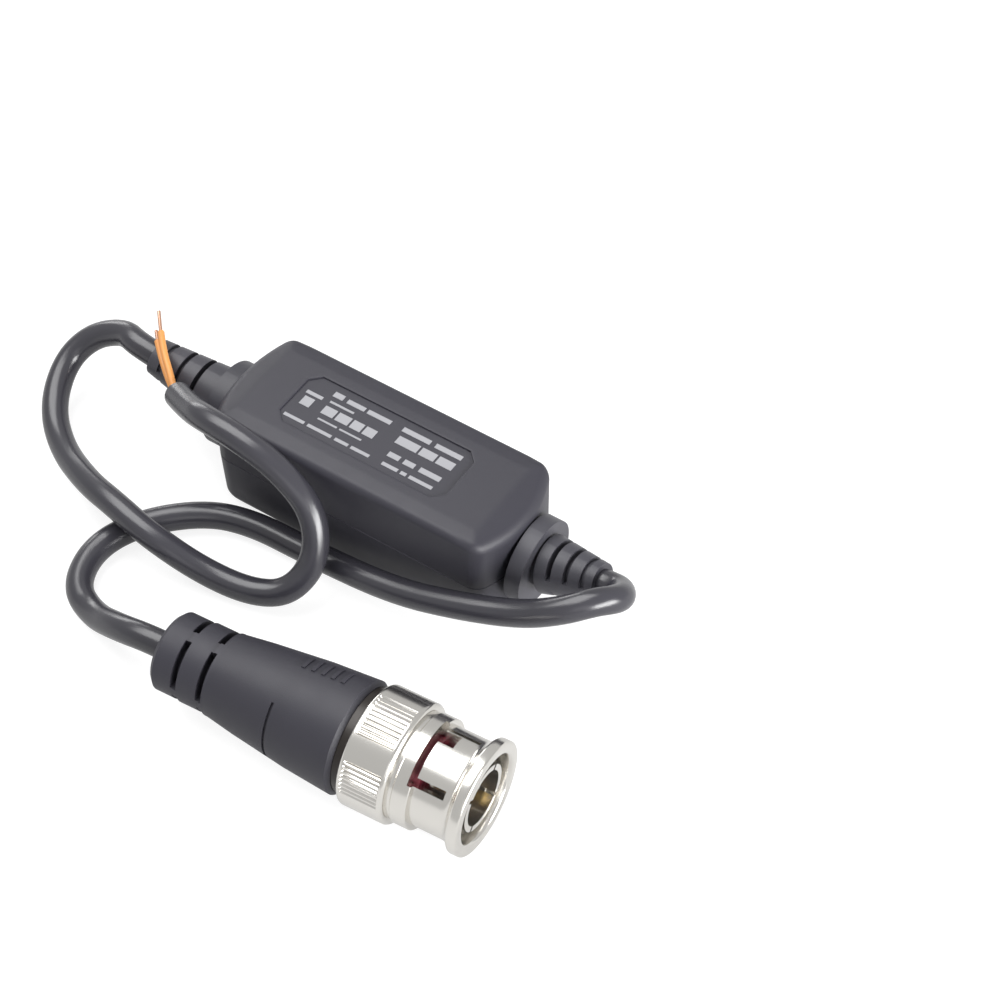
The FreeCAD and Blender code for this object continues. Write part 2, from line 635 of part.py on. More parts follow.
def make_board():
    body = new_body("circuit_board", (0, 0, size("board_underside")))
    sketch = new_sketch(body, "Outline", "XY_Plane")
    rectangle(sketch, -HALF_BOARD_LENGTH, HALF_BOARD_LENGTH, -HALF_BOARD_WIDTH, HALF_BOARD_WIDTH)
    pad(body, sketch, size("board_thickness"), name="Sheet")
    return body


BOARD_TOP = size("board_underside") + size("board_thickness")
TURN_UNDER = size("wire_thickness") + size("turn_clearance")


def make_transformer():
    """Ring core lying on its winding, and the winding's turns round the ring's section."""
    base = (size("core_place"), 0, BOARD_TOP + TURN_UNDER)
    core = new_body("transformer_core", base)
    ring = new_sketch(core, "Ring", "XY_Plane")
    circle(ring, 0, 0, size("core_outer"))
    circle(ring, 0, 0, size("core_inner"))
    pad(core, ring, size("core_height"), name="RingPad")
    winding = new_body("transformer_winding", base)
    winding.AllowCompound = True
    turn = new_sketch(winding, "Turn", "XZ_Plane")
    gap = size("turn_clearance")
    wire = size("wire_thickness")
    rectangle(turn, size("core_inner") - gap, size("core_outer") + gap, -gap, size("core_height") + gap)
    rectangle(turn, size("core_inner") - gap - wire, size("core_outer") + gap + wire,
              -gap - wire, size("core_height") + gap + wire)
    first = pad(winding, turn, size("wire_band"), both_sides=True, name="TurnPad")
    polar_pattern(winding, [first], "Z_Axis", 360, TURNS, "Turns")
    return core, winding


def make_surge_arrester():
    """Gas tube lying on the board: two metal caps and a slimmer ceramic middle."""
    body = new_body("surge_arrester",
                    (size("arrester_place"), 0, BOARD_TOP + size("arrester_radius")))
    sketch = new_sketch(body, "Profile", "XY_Plane")
    half = size("arrester_length") / 2
    cap = size("arrester_radius")
    waist = cap - size("arrester_waist")
    inner = half - size("arrester_cap")
    polygon(sketch, [(-half, 0), (-half, cap), (-inner, cap), (-inner, waist), (inner, waist),
                     (inner, cap), (half, cap), (half, 0)])
    revolution(body, sketch, name="Turned")
    return body


def make_capacitor():
    body = new_body("capacitor", (size("capacitor_place"), 0, BOARD_TOP))
    sketch = new_sketch(body, "Outline", "XY_Plane", y=HALF_BOARD_WIDTH - size("capacitor_length") / 2
                        - size("post_radius") / 2)
    half_x = size("capacitor_thickness") / 2
    half_y = size("capacitor_length") / 2
    rectangle(sketch, -half_x, half_x, -half_y, half_y)
    block = pad(body, sketch, size("capacitor_height"), name="Block")
    top = edges_where(block, lambda p: abs(p.z - VALUES["capacitor_height"]) < NEAR)
    fillet(body, block, top, size("capacitor_thickness") / 5, "TopRound")
    return body


def make_coax_tail(inner_end):
    """The coaxial lead's end inside the housing: jacket, dielectric and the wire down to the board."""
    body = new_body("coax_tail", (0, 0, PARTING))
    jacket_end = inner_end - size("tail_jacket_length")
    bend = jacket_end - size("tail_bare_length")
    sketch = new_sketch(body, "Profile", "XZ_Plane")
    polygon(sketch, [(inner_end, 0), (inner_end, size("lead_radius")), (jacket_end, size("lead_radius")),
                     (jacket_end, size("dielectric_radius")), (bend, size("dielectric_radius")), (bend, 0)])
    revolution(body, sketch, name="Turned")
    down = new_sketch(body, "Down", "XY_Plane")
    circle(down, bend + size("dielectric_radius"), 0, size("solder_wire_radius"))
    pad(body, down, PARTING - BOARD_TOP, reverse=True, name="SolderWire")
    return body


def make_pair_tail(inner_end):
    """The pair lead's end inside the housing: jacket, two insulated wires, two bare ends."""
    body = new_body("pair_tail", (0, 0, PARTING), 180)
    jacket_end = inner_end - size("tail_jacket_length")
    bend = jacket_end - size("tail_bare_length")
    jacket = new_sketch(body, "Jacket", "YZ_Plane", z=jacket_end)
    circle(jacket, 0, 0, size("lead_radius"))
    pad(body, jacket, size("tail_jacket_length"), name="JacketPad")
    wires = new_sketch(body, "Wires", "YZ_Plane", z=bend)
    down = new_sketch(body, "Down", "XY_Plane")
    for side in (1, -1):
        circle(wires, side * size("pair_wire_spread"), 0, size("pair_wire_radius"))
        circle(down, bend + size("pair_wire_radius"), side * size("pair_wire_spread"),
               size("solder_wire_radius"))
    pad(body, wires, size("tail_bare_length"), name="WirePads")
    pad(body, down, PARTING - BOARD_TOP, reverse=True, name="SolderWires")
    return body


def wedge_turn(angle):
    """Turn of a sketch on the XY plane about X that points its normal at an angle, measured from
    the side that faces the camera upwards."""
    return 90 - angle


SPRING_FRONT = size("nut_shoulder_depth") + size("stack_gap") + size("body_flange_length")
WASHER_FRONT = SPRING_FRONT + size("spring_height") + size("stack_gap")
RING_FRONT = WASHER_FRONT + size("washer_thickness") + size("stack_gap")
COLLAR_FRONT = size("nut_length") + size("collar_gap")
BOOT_FRONT = COLLAR_FRONT + size("collar_thickness")


def make_coupling_nut():
    """Bayonet nut: flared rim, slotted waist, ring, and a grip with two knurled zones."""
    body = plug_piece("coupling_nut")
    rim = size("nut_rim_radius")
    waist = size("nut_waist_radius")
    flare_end = size("nut_rim_length") + size("nut_flare_length")
    edge = size("nut_edge")
    grip = size("nut_grip_radius")
    groove_front = RING_FRONT - size("stack_gap")
    groove_rear = RING_FRONT + size("ring_thickness") + size("stack_gap")
    profile = new_sketch(body, "Profile", "XY_Plane")
    polygon(profile, [
        (0, size("nut_mouth_radius")),
        (0, rim - edge / 2),
        (-(edge / 2), rim),
        (-size("nut_rim_length"), rim),
        (-flare_end, waist),
        (-size("nut_ring_depth"), waist),
        (-size("nut_ring_depth"), size("nut_ring_radius")),
        (-size("nut_neck_depth"), size("nut_ring_radius")),
        (-size("nut_neck_depth"), size("nut_neck_radius")),
        (-size("nut_grip_depth"), size("nut_neck_radius")),
        (-size("nut_grip_depth"), grip - edge),
        (-(size("nut_grip_depth") + edge), grip),
        (-(size("nut_length") - edge), grip),
        (-size("nut_length"), grip - edge),
        (-size("nut_length"), size("nut_chamber_radius")),
        (-groove_rear, size("nut_chamber_radius")),
        (-groove_rear, size("ring_seat")),
        (-groove_front, size("ring_seat")),
        (-groove_front, size("nut_chamber_radius")),
        (-size("nut_shoulder_depth"), size("nut_chamber_radius")),
        (-size("nut_shoulder_depth"), size("nut_bore_radius")),
        (-size("nut_mouth_depth"), size("nut_bore_radius"))])
    revolution(body, profile, name="Turned")

    cuts = []
    reach = size("nut_grip_radius")
    for name, angle, width, front in (
            ("Entry", size("entry_angle"), size("entry_width"), size("entry_front")),
            ("Seat", size("seat_angle"), size("seat_width"), size("seat_front")),
            ("Relief", size("relief_angle"), size("relief_width"), size("relief_front"))):
        sketch = new_sketch(body, name, "XY_Plane", turn=wedge_turn(angle), about="x")
        rectangle(sketch, -size("ramp_rear"), -front, -(width / 2), width / 2)
        cuts.append(pocket(body, sketch, reach, reverse=True, name=f"{name}Slot"))
    ramp = new_sketch(body, "Ramp", "XY_Plane", turn=180 - size("relief_angle"), about="x")
    rectangle(ramp, -size("ramp_rear"), -size("ramp_front"), size("nut_bore_radius") - 1, reach)
    cuts.append(groove(body, ramp, size("relief_angle") - size("entry_angle"), name="RampSlot"))
    polar_pattern(body, cuts, "X_Axis", 360, 2, "BayonetPair")

    for side in range(2):
        for start, count in KNURL_ZONES:
            sketch = new_sketch(body, "RibGap", "YZ_Plane",
                                z=-(size("nut_grip_depth") + size("knurl_margin")),
                                turn=180 - start - 180 * side)
            polygon(sketch, [
                (grip - size("knurl_depth"), 0),
                (grip + size("knurl_depth"), size("knurl_width")),
                (grip + size("knurl_depth"), -size("knurl_width"))])
            length = size("nut_length") - size("nut_grip_depth") - 2 * size("knurl_margin")
            cut = pocket(body, sketch, length, name="RibGapCut")
            polar_pattern(body, [cut], "X_Axis", -(size("knurl_pitch") * (count - 1)), count, "RibGaps")
    return body


def make_plug_body():
    """Turned body: slotted outer contact, gasket seat, spring flange, rear barrel."""
    body = plug_piece("plug_body")
    flange_front = size("nut_shoulder_depth") + size("stack_gap")
    seat = size("gasket_front") + size("gasket_length")
    profile = new_sketch(body, "Profile", "XY_Plane")
    polygon(profile, [
        (-size("contact_front"), size("contact_bore")),
        (-size("contact_front"), size("contact_radius")),
        (-size("seat_step"), size("contact_radius")),
        (-size("seat_step"), size("seat_radius")),
        (-seat, size("seat_radius")),
        (-seat, size("nut_bore_radius") - size("body_clearance")),
        (-flange_front, size("nut_bore_radius") - size("body_clearance")),
        (-flange_front, size("nut_chamber_radius") - size("body_clearance")),
        (-SPRING_FRONT, size("nut_chamber_radius") - size("body_clearance")),
        (-SPRING_FRONT, size("barrel_radius")),
        (-size("barrel_end"), size("barrel_radius")),
        (-size("barrel_end"), size("tail_bore")),
        (-(size("bead_front") + size("bead_length")), size("tail_bore")),
        (-(size("bead_front") + size("bead_length")), size("contact_bore"))])
    revolution(body, profile, name="Turned")
    slot = new_sketch(body, "FingerSlot", "XY_Plane", turn=360 / FINGERS / 2, about="x")
    rectangle(slot, -(size("contact_front") + size("contact_slot_length")), 0,
              -(size("contact_slot_width") / 2), size("contact_slot_width") / 2)
    cut = pocket(body, slot, size("nut_grip_radius"), reverse=True, name="FingerSlotCut")
    polar_pattern(body, [cut], "X_Axis", 360, FINGERS, "Fingers")
    return body


def turned_ring(label, front, length, inner, outer):
    """A plain ring of the plug: front depth, length, inner and outer radius."""
    body = plug_piece(label)
    sketch = new_sketch(body, "Profile", "XY_Plane")
    rectangle(sketch, -(front + length), -front, inner, outer)
    revolution(body, sketch, name="Turned")
    return body


def make_retaining_ring():
    """Split ring that sits in the nut's groove behind the thrust washer."""
    body = turned_ring("retaining_ring", RING_FRONT, size("ring_thickness"), size("ring_inner"),
                       size("ring_seat") - size("stack_gap"))
    gap = new_sketch(body, "Gap", "XY_Plane")
    rectangle(gap, -(RING_FRONT + 2 * size("ring_thickness")), -(RING_FRONT - size("ring_thickness")),
              -(size("ring_gap") / 2), size("ring_gap") / 2)
    pocket(body, gap, size("nut_grip_radius"), reverse=True, name="GapCut")
    return body


def make_centre_pin():
    body = plug_piece("centre_pin")
    tip = size("pin_front")
    sketch = new_sketch(body, "Profile", "XY_Plane")
    polygon(sketch, [
        (-tip, 0),
        (-tip, size("pin_radius") / 3),
        (-(tip + size("pin_point")), size("pin_radius")),
        (-size("pin_shoulder"), size("pin_radius")),
        (-size("pin_shoulder"), size("pin_rear_radius")),
        (-(tip + size("pin_length")), size("pin_rear_radius")),
        (-(tip + size("pin_length")), 0)])
    revolution(body, sketch, name="Turned")
    return body


def make_boot():
    """Moulded boot: slow taper, steeper taper, and two slotted rings at the tail."""
    body = plug_piece("plug_boot")
    rear = size("plug_length")
    edge = size("boot_front_edge")
    shoulder = size("boot_shoulder_radius")
    tail = size("boot_tail_radius")
    front = size("boot_front_radius")
    step = size("boot_slot_depth") + size("boot_slot_width") / 2
    rear_step = step + size("boot_slot_pitch")
    middle_ring = size("middle_ring_radius")
    rear_ring = size("rear_ring_radius")
    profile = new_sketch(body, "Profile", "XY_Plane")
    polygon(profile, [
        (-BOOT_FRONT, size("barrel_radius")),
        (-BOOT_FRONT, front - edge),
        (-(BOOT_FRONT + edge), front),
        (-size("boot_shoulder_depth"), shoulder),
        (-size("boot_waist_depth"), size("boot_waist_radius")),
        (-size("boot_tail_depth"), tail),
        (-step, tail),
        (-step, middle_ring),
        (-rear_step, middle_ring),
        (-rear_step, rear_ring),
        (-(rear - edge), rear_ring),
        (-rear, rear_ring - edge),
        (-rear, 0),
        (-size("barrel_end"), 0),
        (-size("barrel_end"), size("barrel_radius"))])
    revolution(body, profile, name="Turned")

    for quarter in range(2):
        slots = new_sketch(body, "TailSlots", "XY_Plane",
                           turn=180 - size("boot_slot_angle") - 90 * quarter, about="x")
        for i in range(2):
            start = size("boot_slot_depth") + i * size("boot_slot_pitch")
            for side in (1, -1):
                rectangle(slots, -(start + size("boot_slot_width")), -start,
                          side * size("boot_slot_core"), side * (rear_ring + 1))
        groove(body, slots, size("boot_slot_sweep"), both_sides=True, name="TailSlotCuts")

    # Radius of the boot's two tapers at a depth
    slow = (front - shoulder) / (size("boot_shoulder_depth") - BOOT_FRONT - edge)
    steep = (shoulder - size("boot_waist_radius")) / (size("boot_waist_depth") - size("boot_shoulder_depth"))
    ribs = new_sketch(body, "GripRibs", "XY_Plane",
                      turn=180 - size("boot_rib_angle"), about="x")
    for i in range(BOOT_RIBS):
        depth = size("boot_rib_depth") + i * size("boot_rib_pitch")
        if depth.number > VALUES["boot_shoulder_depth"]:
            surface = shoulder - steep * (depth - size("boot_shoulder_depth"))
        else:
            surface = front - slow * (depth - BOOT_FRONT - edge)
        rectangle(ribs, -(depth + size("boot_rib_width")), -depth, surface - 1,
                  surface + size("boot_rib_height"))
    revolution(body, ribs, size("boot_rib_sweep"), both_sides=True, name="GripRibTurn")

    panel = new_sketch(body, "PanelGroove", "XY_Plane",
                       turn=180 - size("panel_groove_angle"), about="x")
    surface = shoulder - steep * (size("panel_groove_depth") - size("boot_shoulder_depth"))
    for side in (1, -1):
        rectangle(panel, -(size("panel_groove_depth") + size("panel_groove_width")),
                  -size("panel_groove_depth"), side * (surface - size("panel_groove_bottom")),
                  side * (surface + 1))
    groove(body, panel, size("panel_groove_sweep"), both_sides=True, name="PanelGrooveCut")
    return body


def make_lead(label, route, radius):
    """A free lead: a tube whose path is straight runs joined by tangent arcs. Each arc takes 0.45
    of its shorter run, so its radius is that length over the tangent of half the turn."""
    points = [Vector(*point) for point in route]
    edges = []
    radii = []
    start = points[0]
    for before, corner, after in zip(points, points[1:], points[2:]):
        u = (corner - before).normalize()
        v = (after - corner).normalize()
        turn = u.getAngle(v)
        reach = 0.45 * min((corner - before).Length, (after - corner).Length)
        entry = corner - u * reach
        leave = corner + v * reach
        arc_radius = reach / math.tan(turn / 2)
        radii.append(arc_radius)
        inward = (v - u).normalize()
        middle = corner + inward * (arc_radius / math.cos(turn / 2) - arc_radius)
        edges.append(Part.LineSegment(start, entry).toShape())
        edges.append(Part.Arc(entry, middle, leave).toShape())
        start = leave
    edges.append(Part.LineSegment(start, points[-1]).toShape())
    path = Part.Wire(edges)
    section = Part.Wire(Part.Circle(points[0], points[1] - points[0], radius).toShape())
    tube = path.makePipeShell([section], True, False)
    ideal = math.pi * radius ** 2 * path.Length
    assert abs(tube.Volume / ideal - 1) < 0.01, f"{label}: volume {tube.Volume} for {ideal}"
    feature = doc.addObject("Part::Feature", label)
    feature.Label = label
    feature.Shape = tube
    feature.Placement = Placement()
    print(f"{label}: length {path.Length:.1f}, smallest radii",
          [round(r, 1) for r in sorted(radii)[:4]])
    return feature


def make_all():
    pieces = [make_housing_lower(), make_housing_upper()]
    coax_relief, inner_end = make_strain_relief(
        "strain_relief_coax", 1, size("coax_relief_length"), size("coax_relief_rise"),
        (size("coax_neck_end"), size("coax_neck_radius"), size("coax_cone_radius")),
        size("coax_slot_start"), size("coax_slot_pitch"), SLOTS_COAX)
    pair_relief, _ = make_strain_relief(
        "strain_relief_pair", -1, size("pair_relief_length"), size("pair_relief_rise"), None,
        size("pair_slot_start"), size("pair_slot_pitch"), SLOTS_PAIR)
    pieces += [coax_relief, pair_relief, make_board()]
    pieces += make_transformer()
    pieces += [make_surge_arrester(), make_capacitor(), make_coax_tail(inner_end),
               make_pair_tail(inner_end)]
    pieces += [make_coupling_nut(), make_plug_body()]
    pieces.append(turned_ring("gasket", size("gasket_front"), size("gasket_length"),
                              size("seat_radius"), size("gasket_radius")))
    pieces.append(turned_ring("wave_washer", SPRING_FRONT, size("spring_height"),
                              size("spring_inner"), size("washer_outer")))
    pieces.append(turned_ring("thrust_washer", WASHER_FRONT, size("washer_thickness"),
                              size("washer_inner"), size("washer_outer")))
    pieces.append(make_retaining_ring())
    pieces.append(turned_ring("rear_collar", COLLAR_FRONT, size("collar_thickness"),
                              size("barrel_radius"), size("collar_radius")))
    pieces.append(turned_ring("insulator", size("bead_front"), size("bead_length"),
                              size("pin_rear_radius"), size("contact_bore")))
    pieces += [make_centre_pin(), make_boot()]
    lead = VALUES["lead_radius"]
    wire = VALUES["pair_wire_radius"]
    strands = VALUES["strand_radius"]
    pieces.append(make_lead("coax_lead", COAX_ROUTE, lead))
    pieces.append(make_lead("pair_lead", PAIR_ROUTE, lead))
    pieces.append(make_lead("wire_a", WIRE_A_ROUTE, wire))
    pieces.append(make_lead("wire_a_strands", WIRE_A_STRANDS, strands))
    pieces.append(make_lead("wire_b", WIRE_B_ROUTE, wire))
    pieces.append(make_lead("wire_b_strands", WIRE_B_STRANDS, strands))
    return pieces


pieces = make_all()
doc.recompute()

for item in doc.Objects:
    bad = {"Invalid", "Error"} & set(item.State)
    assert not bad, f"{item.Label}: {item.State}"
for piece in pieces:
    assert not piece.Shape.isNull() and piece.Shape.isValid(), piece.Label
    assert piece.Shape.Solids, piece.Label

os.makedirs("parts", exist_ok=True)
for piece in pieces:
    piece.Shape.exportStep(f"parts/{piece.Label}.step")
    print(piece.Label, len(piece.Shape.Solids), round(piece.Shape.Volume, 2))
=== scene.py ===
"""CCTV video balun, seen from above its near side. Metres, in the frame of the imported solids.

Shapes are worked out in millimetres, and new_piece and lead turn them into metres. The table, the lamps
and the camera are placed in metres.
"""
import math

import bpy
import numpy as np
from mathutils import Matrix, Vector


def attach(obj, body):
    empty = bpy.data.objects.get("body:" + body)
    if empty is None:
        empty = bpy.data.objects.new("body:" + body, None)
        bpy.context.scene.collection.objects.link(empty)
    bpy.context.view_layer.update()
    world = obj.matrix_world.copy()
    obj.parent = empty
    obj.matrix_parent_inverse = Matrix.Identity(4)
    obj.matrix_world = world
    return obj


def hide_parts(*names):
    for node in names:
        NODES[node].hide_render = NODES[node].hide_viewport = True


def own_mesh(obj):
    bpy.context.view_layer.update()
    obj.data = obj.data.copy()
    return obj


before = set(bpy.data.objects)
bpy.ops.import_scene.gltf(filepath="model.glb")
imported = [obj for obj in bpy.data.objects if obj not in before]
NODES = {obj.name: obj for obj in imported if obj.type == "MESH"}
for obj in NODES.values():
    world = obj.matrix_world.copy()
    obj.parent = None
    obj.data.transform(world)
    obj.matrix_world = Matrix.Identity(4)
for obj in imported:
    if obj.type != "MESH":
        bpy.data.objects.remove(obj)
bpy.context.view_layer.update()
MM = 0.001


# Shader helpers

class Field:
    """A shader value that can be added and multiplied like a number."""

    def __init__(self, tree, socket):
        self.tree = tree
        self.socket = socket

    def _maths(self, operation, first, second):
        node = self.tree.nodes.new("ShaderNodeMath")
        node.operation = operation
        for slot, value in zip(node.inputs, (first, second)):
            if isinstance(value, Field):
                self.tree.links.new(value.socket, slot)
            else:
                slot.default_value = float(value)
        return Field(self.tree, node.outputs[0])

    def __add__(self, other):
        return self._maths("ADD", self, other)

    def __radd__(self, other):
        return self._maths("ADD", other, self)

    def __mul__(self, other):
        return self._maths("MULTIPLY", self, other)

    def most(self, other):
        return self._maths("MAXIMUM", self, other)

    def least(self, other):
        return self._maths("MINIMUM", self, other)

    def grey(self):
        """Socket of a grey as bright as the value."""
        node = self.tree.nodes.new("ShaderNodeCombineColor")
        for slot in node.inputs:
            self.tree.links.new(self.socket, slot)
        return node.outputs[0]


class Paint:
    """One Principled material with its nodes."""

    def __init__(self, name, color, rough, metal=0.0, specular=0.5):
        self.name = name
        self.material = bpy.data.materials.new(name)
        self.material.use_nodes = True
        self.tree = self.material.node_tree
        self.shader = self.tree.nodes["Principled BSDF"]
        self.shader.inputs["Base Color"].default_value = (*color, 1)
        self.shader.inputs["Roughness"].default_value = rough
        self.shader.inputs["Metallic"].default_value = metal
        self.shader.inputs["Specular IOR Level"].default_value = specular

    def noise(self, scale):
        """Noise over the piece, with scale cells to the metre."""
        place = self.tree.nodes.new("ShaderNodeTexCoord")
        made = self.tree.nodes.new("ShaderNodeTexNoise")
        made.inputs["Scale"].default_value = scale
        made.inputs["Detail"].default_value = 2.0
        made.inputs["Roughness"].default_value = 0.55
        self.tree.links.new(place.outputs["Object"], made.inputs["Vector"])
        return Field(self.tree, made.outputs["Fac"])

    def link(self, field, name):
        self.tree.links.new(field.socket, self.shader.inputs[name])

    def bump(self, field, distance):
        made = self.tree.nodes.new("ShaderNodeBump")
        made.inputs["Distance"].default_value = distance
        made.inputs["Strength"].default_value = 1.0
        self.tree.links.new(field.socket, made.inputs["Height"])
        self.tree.links.new(made.outputs[0], self.shader.inputs["Normal"])


def wear(obj, paint):
    """Give a piece one material."""
    obj.data.materials.clear()
    obj.data.materials.append(paint.material)


# Materials

FINE_GRAIN = 9000.0
BROAD_GRAIN = 300.0
GRAIN_DEPTH = 0.00001
GLOSS_CHANGE = 0.12


def grained(name, color, rough, specular=0.36):
    """A moulded plastic with a fine spark-eroded grain and a slightly uneven gloss."""
    paint = Paint(name, color, rough, specular=specular)
    fine = paint.noise(FINE_GRAIN)
    broad = paint.noise(BROAD_GRAIN)
    paint.link(rough - GLOSS_CHANGE / 2 + broad * GLOSS_CHANGE, "Roughness")
    paint.bump(fine, GRAIN_DEPTH)
    return paint


housing = grained("housing_plastic", (0.032, 0.031, 0.040), 0.46)
relief = grained("relief_plastic", (0.058, 0.057, 0.068), 0.4)
jacket = grained("lead_jacket", (0.036, 0.035, 0.043), 0.22, 0.62)
boot = grained("boot_plastic", (0.033, 0.032, 0.041), 0.5)
nickel = Paint("nickel", (0.75, 0.73, 0.69), 0.2, 1.0)
steel = Paint("washer_steel", (0.6, 0.59, 0.57), 0.3, 1.0)
bronze = Paint("collar_bronze", (0.028, 0.023, 0.02), 0.35, 0.3)
crimson = Paint("gasket_rubber", (0.13, 0.01, 0.022), 0.4)
# Painted shade: the insulator's plastic is pale, and this dark brown stands in for the shade deep inside
# the plug's mouth.
painted_shade_bead = Paint("insulator_plastic", (0.2, 0.15, 0.12), 0.45)
gold = Paint("gold", (0.83, 0.6, 0.25), 0.2, 1.0)
orange = Paint("wire_orange", (0.72, 0.31, 0.085), 0.45)
copper = Paint("copper", (0.62, 0.36, 0.25), 0.35, 0.9)
board = Paint("board", (0.03, 0.18, 0.07), 0.4)
ferrite = Paint("ferrite", (0.08, 0.08, 0.085), 0.6)
enamel = Paint("enamel_wire", (0.45, 0.18, 0.08), 0.3, 0.8)
tube = Paint("arrester", (0.75, 0.73, 0.7), 0.3)
dipped = Paint("capacitor_body", (0.45, 0.1, 0.05), 0.3)
ink = Paint("label_ink", (0.31, 0.31, 0.33), 0.5)

PAINTS = {
    "housing_lower": housing, "housing_upper": housing, "strain_relief_coax": relief,
    "strain_relief_pair": relief, "circuit_board": board, "transformer_core": ferrite,
    "transformer_winding": enamel, "surge_arrester": tube, "capacitor": dipped, "coax_tail": jacket,
    "pair_tail": jacket, "coax_lead": jacket, "pair_lead": jacket, "wire_a": orange,
    "wire_a_strands": copper, "wire_b": orange, "wire_b_strands": copper, "plug_boot": boot,
    "plug_body": nickel, "rear_collar": bronze, "insulator": painted_shade_bead, "centre_pin": gold,
    "gasket": crimson, "wave_washer": steel, "thrust_washer": steel, "retaining_ring": steel,
    "coupling_nut": nickel,
}
for name, obj in NODES.items():
    wear(obj, PAINTS[name])

# Leads

LEAD_RADIUS = 1.65
WIRE_RADIUS = 0.43
STRAND_RADIUS = 0.22
STEPS_ALONG = 24
STEPS_AROUND = 10

COAX_ROUTE = [
    (30.5858, 0.0, 10.2375), (32.41, 0.0, 10.6252), (33.8, -0.87, 11.51), (34.64, -3.02, 13.34),
    (33.07, -5.63, 14.49), (30.21, -8.01, 13.38), (25.5, -9.22, 10.58), (17.91, -10.41, 7.99),
    (9.0, -10.9, 5.0), (-3.9, -9.9, 2.2), (-12.4, -9.7, 1.7), (-18.2, -11.6, 1.7),
    (-23.7, -17.0, 1.7), (-26.0, -23.1, 1.7), (-24.2, -29.0, 1.7), (-19.4, -31.4, 2.2),
    (-13.6, -33.0, 5.8), (-9.199, -33.154, 7.25), (-6.007, -32.934, 7.25)]
PAIR_ROUTE = [
    (-33.5061, 0.0, 9.7355), (-36.583, 0.0, 10.1133), (-39.8, 1.3, 9.4), (-44.2, 0.0, 7.2),
    (-46.0, -3.6, 4.6), (-43.9, -9.1, 2.6), (-38.8, -13.5, 2.2), (-31.2, -17.4, 4.6),
    (-25.6, -19.0, 5.8), (-19.6, -20.3, 5.6), (-12.9, -19.4, 2.6), (-6.4, -18.4, 1.8),
    (-2.0, -16.6, 2.8), (-0.4, -13.0, 6.2), (-2.2, -10.4, 11.2), (-7.0, -9.9, 15.0),
    (-12.8, -9.9, 17.0), (-18.6, -9.2, 16.4), (-22.4, -7.5, 14.2), (-25.9, -5.5, 12.5)]
WIRE_A_ROUTE = [
    (-26.086, -5.394, 13.007), (-27.126, -4.8, 12.502), (-28.385, -3.697, 13.05),
    (-31.085, -1.505, 13.7), (-33.292, 0.835, 13.4)]
WIRE_A_STRANDS = [(-33.292, 0.835, 13.4), (-34.492, 2.107, 13.237), (-35.681, 3.468, 13.4)]
WIRE_B_ROUTE = [
    (-25.714, -5.606, 11.993), (-26.754, -5.012, 11.488), (-28.73, -3.744, 11.9),
    (-30.542, -2.363, 12.4), (-32.014, -1.097, 12.6), (-33.275, 0.063, 12.5)]
WIRE_B_STRANDS = [(-33.275, 0.063, 12.5), (-33.965, 0.698, 12.445), (-34.587, 1.403, 12.4)]


def lead(name, route, radius, paint, node):
    """A smooth free lead along a route of control points."""
    curve = bpy.data.curves.new(name, "CURVE")
    curve.dimensions = "3D"
    spline = curve.splines.new("NURBS")
    spline.points.add(len(route) - 1)
    for point, place in zip(spline.points, route):
        point.co = (*[c * MM for c in place], 1)
    spline.order_u = 3
    spline.use_endpoint_u = True
    spline.resolution_u = STEPS_ALONG
    curve.bevel_depth = radius * MM
    curve.bevel_resolution = STEPS_AROUND
    curve.use_fill_caps = True
    obj = bpy.data.objects.new(name, curve)
    bpy.context.scene.collection.objects.link(obj)
    wear(obj, paint)
    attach(obj, "balun")
    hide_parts(node)
    return obj


wires = [
    lead("wire_a_insulation", WIRE_A_ROUTE, WIRE_RADIUS, orange, "wire_a"),
    lead("wire_a_copper", WIRE_A_STRANDS, STRAND_RADIUS, copper, "wire_a_strands"),
    lead("wire_b_insulation", WIRE_B_ROUTE, WIRE_RADIUS, orange, "wire_b"),
    lead("wire_b_copper", WIRE_B_STRANDS, STRAND_RADIUS, copper, "wire_b_strands"),
]
coax = lead("coax_cable", COAX_ROUTE, LEAD_RADIUS, jacket, "coax_lead")
pair = lead("pair_cable", PAIR_ROUTE, LEAD_RADIUS, jacket, "pair_lead")


# Meshes

def new_piece(name, points, faces, paint, body, node=None, sharp=35.0):
    """A mesh piece from points in mm and a list of faces, smooth but for its sharp edges."""
    mesh = bpy.data.meshes.new(name)
    mesh.from_pydata((np.asarray(points).reshape(-1, 3) * MM).tolist(), [], faces)
    mesh.polygons.foreach_set("use_smooth", [True] * len(mesh.polygons))
    mesh.set_sharp_from_angle(angle=math.radians(sharp))
    obj = bpy.data.objects.new(name, mesh)
    bpy.context.scene.collection.objects.link(obj)
    wear(obj, paint)
    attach(obj, body)
    if node:
        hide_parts(node)
    return obj


def turned_faces(rows, columns, closed, skip=None):
    """Quads of a grid of rows round an axis. skip is true where a cell stays open."""
    faces = []
    for i in range(rows if closed else rows - 1):
        for j in range(columns):
            if skip is None or not skip[i, j]:
                a, b = i, (i + 1) % rows
                c = (j + 1) % columns
                faces.append((a * columns + j, a * columns + c, b * columns + c, b * columns + j))
    return faces


# Plug: depths behind its front and radii in mm, angles round its axis from the near side

PLUG_TURN = math.radians(3.944)
PLUG_FRONT = np.array([34.896, -30.114, 7.25])
PLUG_AXIS = np.array([math.cos(PLUG_TURN), math.sin(PLUG_TURN), 0.0])
PLUG_SIDE = np.array([-math.sin(PLUG_TURN), math.cos(PLUG_TURN), 0.0])
UP = np.array([0.0, 0.0, 1.0])


